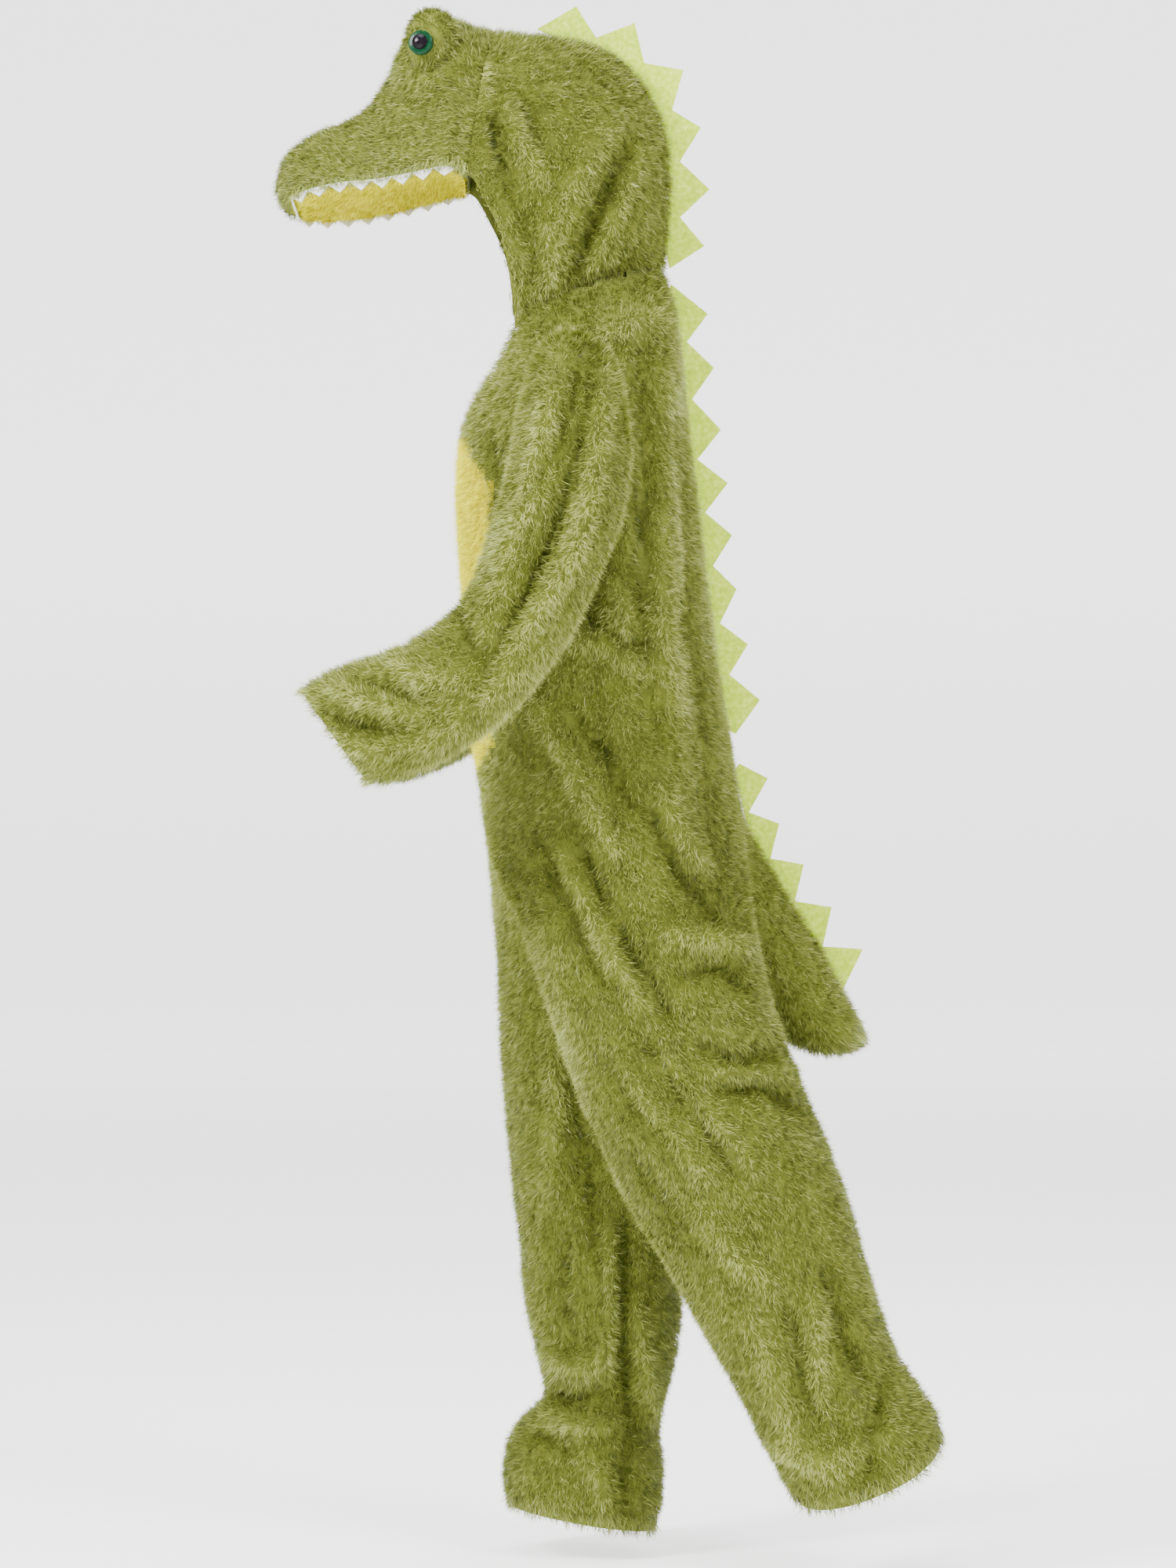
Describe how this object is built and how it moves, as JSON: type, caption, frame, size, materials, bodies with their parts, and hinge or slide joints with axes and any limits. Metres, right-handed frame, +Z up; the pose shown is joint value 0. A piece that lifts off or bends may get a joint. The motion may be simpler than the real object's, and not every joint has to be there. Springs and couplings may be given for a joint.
{
  "type": "crocodile costume",
  "caption": "Hooded plush crocodile jumpsuit, hollow and held in a walking pose, with snout, felt spikes down the back, yellow belly and a stuffed tail.",
  "frame": {"origin": "midway between the shoulders, inside the suit, where the wearer holds it up", "axes": "+Z up, -Y to the front of the suit, +X to the wearer's left"},
  "size_m": [0.6126, 0.761, 1.7642],
  "materials": {
    "green_plush": "long glossy pile",
    "yellow_plush": "long glossy pile",
    "lime_felt": "pressed felt, mottled",
    "white_felt": "pressed felt",
    "green_eye": "polished",
    "dark_eye": "polished"
  },
  "bodies": {
    "root": {"front_left": "green_plush", "front_right": "green_plush", "back_left": "green_plush", "back_right": "green_plush", "sleeve_left": "green_plush", "sleeve_right": "green_plush", "hood_left": "green_plush", "hood_right": "green_plush", "snout": "green_plush", "eye_dome_left": "green_plush", "eye_dome_right": "green_plush", "tail": "green_plush", "belly_left": "yellow_plush", "belly_right": "yellow_plush", "palate": "yellow_plush", "teeth": "white_felt", "spikes_hood": "lime_felt", "spikes_back": "lime_felt", "spikes_tail": "lime_felt", "eye_left": "green_eye", "eye_right": "green_eye", "pupil_left": "dark_eye", "pupil_right": "dark_eye"}
  },
  "joints": []
}
